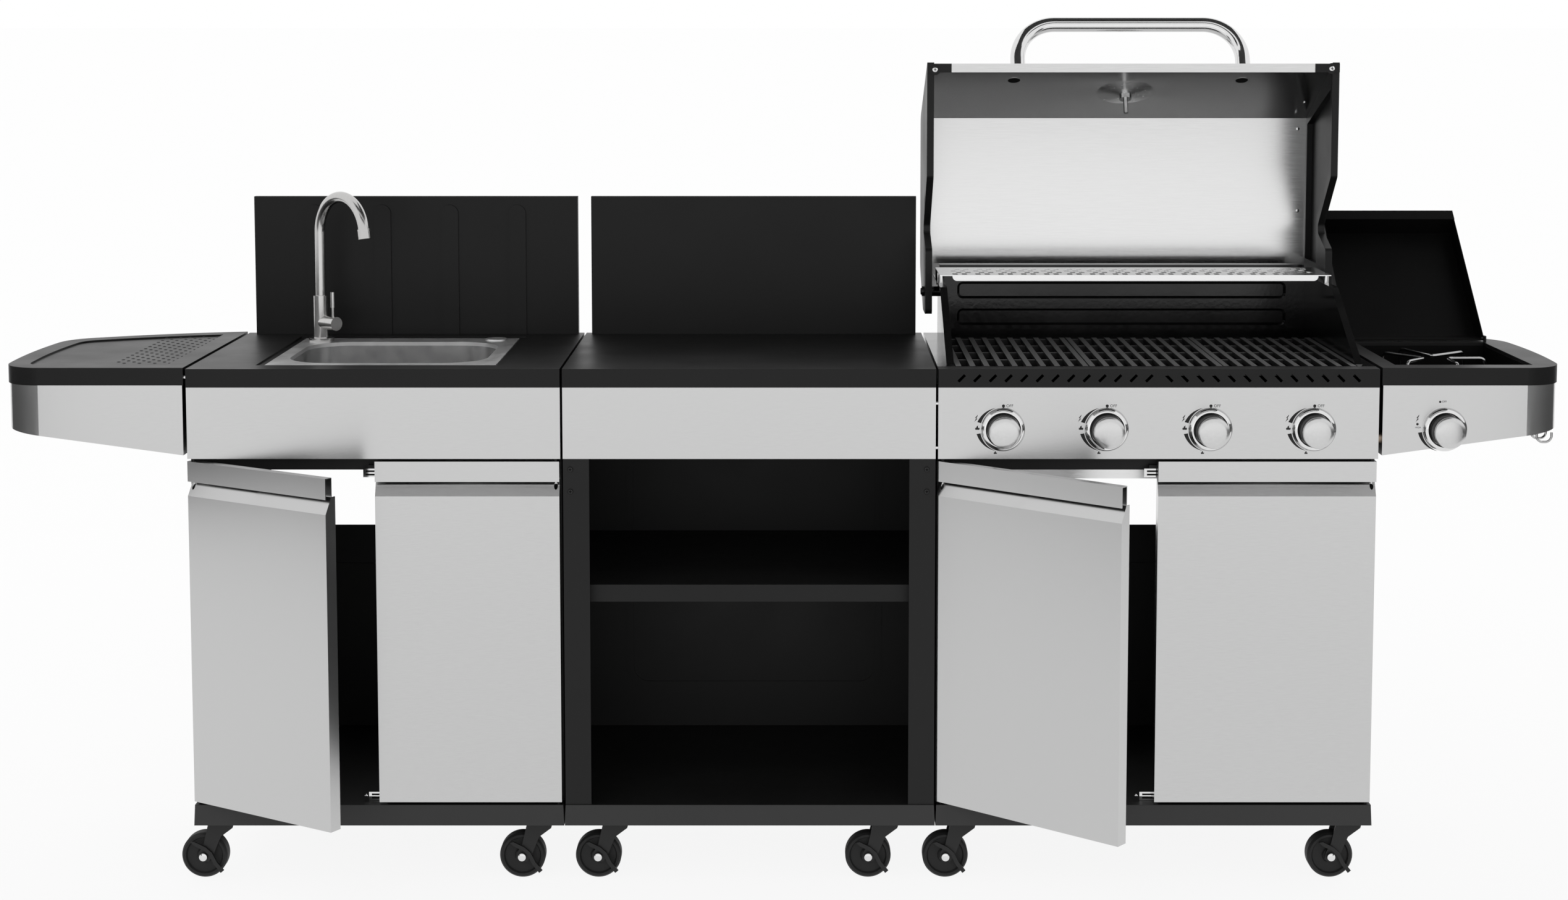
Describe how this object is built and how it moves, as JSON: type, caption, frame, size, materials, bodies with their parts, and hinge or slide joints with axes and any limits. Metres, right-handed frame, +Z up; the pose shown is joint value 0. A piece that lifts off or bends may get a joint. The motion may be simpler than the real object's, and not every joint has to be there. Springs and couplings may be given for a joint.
{
  "type": "gas barbecue grill",
  "caption": "Outdoor kitchen with a gas barbecue grill, opening hood, side burner, sink with tap, open shelf, doors and casters.",
  "frame": {"origin": "on the floor, below the centre of the whole object's bounding box", "axes": "+X to the viewer's right along the row of cabinets, +Y to the rear, +Z up"},
  "size_m": [2.524, 0.7847, 1.413],
  "materials": {
    "cabinet_paint": "fine textured dark grey",
    "stainless": "brushed across",
    "dark_enamel": "satin black",
    "sink_steel": "satin",
    "tap_chrome": "polished",
    "firebox_steel": "plain sheet",
    "cast_iron": "matt enamel",
    "gas_brass": "plain",
    "knob_plastic": "black grip with a bright cap",
    "caster_paint": "black",
    "wheel_rubber": "matt"
  },
  "bodies": {
    "kitchen": {"sink_cabinet": "cabinet_paint", "shelf_cabinet": "cabinet_paint", "grill_cabinet": "cabinet_paint", "shelf_board": "cabinet_paint", "blank_fascias": "stainless", "control_panel": "stainless", "worktops": "dark_enamel", "backsplashes": "dark_enamel", "sink_bowl": "sink_steel", "tap_body": "tap_chrome", "left_table_top": "dark_enamel", "side_aprons": "stainless", "side_burner_top": "dark_enamel", "side_burner_pan": "dark_enamel", "side_burner": "firebox_steel", "side_burner_trivet": "firebox_steel", "tool_hooks": "tap_chrome", "firebox": "dark_enamel", "firebox_front_rail": "dark_enamel", "burners": "firebox_steel", "heat_tents": "firebox_steel", "gas_manifold": "gas_brass", "cooking_grates": "cast_iron", "warming_rack": "firebox_steel", "knob_bezels": "tap_chrome"},
    "hood": {"hood_shell": "stainless", "hood_end_caps": "dark_enamel", "hood_handle": "tap_chrome", "thermometer": "tap_chrome"},
    "drip_tray": {"drip_tray": "firebox_steel"},
    "burner_knob_1": {"burner_knob_1": "knob_plastic"},
    "burner_knob_2": {"burner_knob_2": "knob_plastic"},
    "burner_knob_3": {"burner_knob_3": "knob_plastic"},
    "burner_knob_4": {"burner_knob_4": "knob_plastic"},
    "side_burner_knob": {"side_burner_knob": "knob_plastic"},
    "sink_door_left": {"sink_door_left": "stainless"},
    "sink_door_right": {"sink_door_right": "stainless"},
    "grill_door_left": {"grill_door_left": "stainless"},
    "grill_door_right": {"grill_door_right": "stainless"},
    "side_burner_lid": {"side_burner_lid": "dark_enamel"},
    "tap_spout": {"tap_spout": "tap_chrome"},
    "tap_lever": {"tap_lever": "tap_chrome"},
    "sink_caster_fork_left": {"sink_caster_fork_left": "caster_paint"},
    "sink_front_wheel_left": {"sink_front_wheel_left": "wheel_rubber"},
    "sink_rear_wheel_left": {"sink_rear_wheel_left": "wheel_rubber"},
    "sink_caster_fork_right": {"sink_caster_fork_right": "caster_paint"},
    "sink_front_wheel_right": {"sink_front_wheel_right": "wheel_rubber"},
    "sink_rear_wheel_right": {"sink_rear_wheel_right": "wheel_rubber"},
    "shelf_caster_fork_left": {"shelf_caster_fork_left": "caster_paint"},
    "shelf_front_wheel_left": {"shelf_front_wheel_left": "wheel_rubber"},
    "shelf_rear_wheel_left": {"shelf_rear_wheel_left": "wheel_rubber"},
    "shelf_caster_fork_right": {"shelf_caster_fork_right": "caster_paint"},
    "shelf_front_wheel_right": {"shelf_front_wheel_right": "wheel_rubber"},
    "shelf_rear_wheel_right": {"shelf_rear_wheel_right": "wheel_rubber"},
    "grill_caster_fork_left": {"grill_caster_fork_left": "caster_paint"},
    "grill_front_wheel_left": {"grill_front_wheel_left": "wheel_rubber"},
    "grill_rear_wheel_left": {"grill_rear_wheel_left": "wheel_rubber"},
    "grill_caster_fork_right": {"grill_caster_fork_right": "caster_paint"},
    "grill_front_wheel_right": {"grill_front_wheel_right": "wheel_rubber"},
    "grill_rear_wheel_right": {"grill_rear_wheel_right": "wheel_rubber"}
  },
  "joints": [
    {"name": "hood_hinge", "type": "hinge", "parent": "kitchen", "child": "hood", "pos_m": [0.604, 0.24754, 0.93], "axis": [1, 0, 0], "range_deg": [0, 90]},
    {"name": "drip_tray_slide", "type": "slide", "parent": "kitchen", "child": "drip_tray", "axis": [0, 1, 0], "range_m": [0, 0.26]},
    {"name": "burner_knob_1_turn", "type": "hinge", "parent": "kitchen", "child": "burner_knob_1", "pos_m": [0.35412, -0.17246, 0.752], "axis": [0, -1, 0], "range_deg": [0, 180]},
    {"name": "burner_knob_2_turn", "type": "hinge", "parent": "kitchen", "child": "burner_knob_2", "pos_m": [0.52071, -0.17246, 0.752], "axis": [0, -1, 0], "range_deg": [0, 180]},
    {"name": "burner_knob_3_turn", "type": "hinge", "parent": "kitchen", "child": "burner_knob_3", "pos_m": [0.68729, -0.17246, 0.752], "axis": [0, -1, 0], "range_deg": [0, 180]},
    {"name": "burner_knob_4_turn", "type": "hinge", "parent": "kitchen", "child": "burner_knob_4", "pos_m": [0.85388, -0.17246, 0.752], "axis": [0, -1, 0], "range_deg": [0, 180]},
    {"name": "side_burner_knob_turn", "type": "hinge", "parent": "kitchen", "child": "side_burner_knob", "pos_m": [1.064, -0.17246, 0.752], "axis": [0, -1, 0], "range_deg": [0, 180]},
    {"name": "sink_door_left_hinge", "type": "hinge", "parent": "kitchen", "child": "sink_door_left", "pos_m": [-0.95, -0.16446, 0.419], "axis": [0, 0, 1], "range_deg": [-78, 32]},
    {"name": "sink_door_right_hinge", "type": "hinge", "parent": "kitchen", "child": "sink_door_right", "pos_m": [-0.366, -0.16446, 0.419], "axis": [0, 0, 1], "range_deg": [0, 110]},
    {"name": "grill_door_left_hinge", "type": "hinge", "parent": "kitchen", "child": "grill_door_left", "pos_m": [0.258, -0.16446, 0.419], "axis": [0, 0, 1], "range_deg": [-70, 40]},
    {"name": "grill_door_right_hinge", "type": "hinge", "parent": "kitchen", "child": "grill_door_right", "pos_m": [0.95, -0.16446, 0.419], "axis": [0, 0, 1], "range_deg": [0, 110]},
    {"name": "side_burner_lid_hinge", "type": "hinge", "parent": "kitchen", "child": "side_burner_lid", "pos_m": [1.097, 0.15754, 0.857], "axis": [1, 0, 0], "range_deg": [0, 138]},
    {"name": "tap_spout_swivel", "type": "hinge", "parent": "kitchen", "child": "tap_spout", "pos_m": [-0.81, 0.19654, 0.9285], "axis": [0, 0, 1], "range_deg": [-130, 50]},
    {"name": "tap_lever_turn", "type": "hinge", "parent": "kitchen", "child": "tap_lever", "pos_m": [-0.79172, 0.17949, 0.8815], "axis": [0.7314, -0.682, 0], "range_deg": [0, 90]},
    {"name": "sink_caster_fork_left_swivel", "type": "hinge", "parent": "kitchen", "child": "sink_caster_fork_left", "pos_m": [-0.929, -0.12446, 0.1], "axis": [0, 0, 1], "continuous": true},
    {"name": "sink_front_wheel_left_spin", "type": "hinge", "parent": "sink_caster_fork_left", "child": "sink_front_wheel_left", "pos_m": [-0.953, -0.12446, 0.0375], "axis": [0, 1, 0], "continuous": true},
    {"name": "sink_rear_wheel_left_spin", "type": "hinge", "parent": "kitchen", "child": "sink_rear_wheel_left", "pos_m": [-0.929, 0.22554, 0.0375], "axis": [1, 0, 0], "continuous": true},
    {"name": "sink_caster_fork_right_swivel", "type": "hinge", "parent": "kitchen", "child": "sink_caster_fork_right", "pos_m": [-0.405, -0.12446, 0.1], "axis": [0, 0, 1], "continuous": true},
    {"name": "sink_front_wheel_right_spin", "type": "hinge", "parent": "sink_caster_fork_right", "child": "sink_front_wheel_right", "pos_m": [-0.429, -0.12446, 0.0375], "axis": [0, 1, 0], "continuous": true},
    {"name": "sink_rear_wheel_right_spin", "type": "hinge", "parent": "kitchen", "child": "sink_rear_wheel_right", "pos_m": [-0.405, 0.22554, 0.0375], "axis": [1, 0, 0], "continuous": true},
    {"name": "shelf_caster_fork_left_swivel", "type": "hinge", "parent": "kitchen", "child": "shelf_caster_fork_left", "pos_m": [-0.28, -0.12446, 0.1], "axis": [0, 0, 1], "continuous": true},
    {"name": "shelf_front_wheel_left_spin", "type": "hinge", "parent": "shelf_caster_fork_left", "child": "shelf_front_wheel_left", "pos_m": [-0.304, -0.12446, 0.0375], "axis": [0, 1, 0], "continuous": true},
    {"name": "shelf_rear_wheel_left_spin", "type": "hinge", "parent": "kitchen", "child": "shelf_rear_wheel_left", "pos_m": [-0.28, 0.22554, 0.0375], "axis": [1, 0, 0], "continuous": true},
    {"name": "shelf_caster_fork_right_swivel", "type": "hinge", "parent": "kitchen", "child": "shelf_caster_fork_right", "pos_m": [0.164, -0.12446, 0.1], "axis": [0, 0, 1], "continuous": true},
    {"name": "shelf_front_wheel_right_spin", "type": "hinge", "parent": "shelf_caster_fork_right", "child": "shelf_front_wheel_right", "pos_m": [0.14, -0.12446, 0.0375], "axis": [0, 1, 0], "continuous": true},
    {"name": "shelf_rear_wheel_right_spin", "type": "hinge", "parent": "kitchen", "child": "shelf_rear_wheel_right", "pos_m": [0.164, 0.22554, 0.0375], "axis": [1, 0, 0], "continuous": true},
    {"name": "grill_caster_fork_left_swivel", "type": "hinge", "parent": "kitchen", "child": "grill_caster_fork_left", "pos_m": [0.291, -0.12446, 0.1], "axis": [0, 0, 1], "continuous": true},
    {"name": "grill_front_wheel_left_spin", "type": "hinge", "parent": "grill_caster_fork_left", "child": "grill_front_wheel_left", "pos_m": [0.267, -0.12446, 0.0375], "axis": [0, 1, 0], "continuous": true},
    {"name": "grill_rear_wheel_left_spin", "type": "hinge", "parent": "kitchen", "child": "grill_rear_wheel_left", "pos_m": [0.291, 0.22554, 0.0375], "axis": [1, 0, 0], "continuous": true},
    {"name": "grill_caster_fork_right_swivel", "type": "hinge", "parent": "kitchen", "child": "grill_caster_fork_right", "pos_m": [0.925, -0.12446, 0.1], "axis": [0, 0, 1], "continuous": true},
    {"name": "grill_front_wheel_right_spin", "type": "hinge", "parent": "grill_caster_fork_right", "child": "grill_front_wheel_right", "pos_m": [0.901, -0.12446, 0.0375], "axis": [0, 1, 0], "continuous": true},
    {"name": "grill_rear_wheel_right_spin", "type": "hinge", "parent": "kitchen", "child": "grill_rear_wheel_right", "pos_m": [0.925, 0.22554, 0.0375], "axis": [1, 0, 0], "continuous": true}
  ]
}
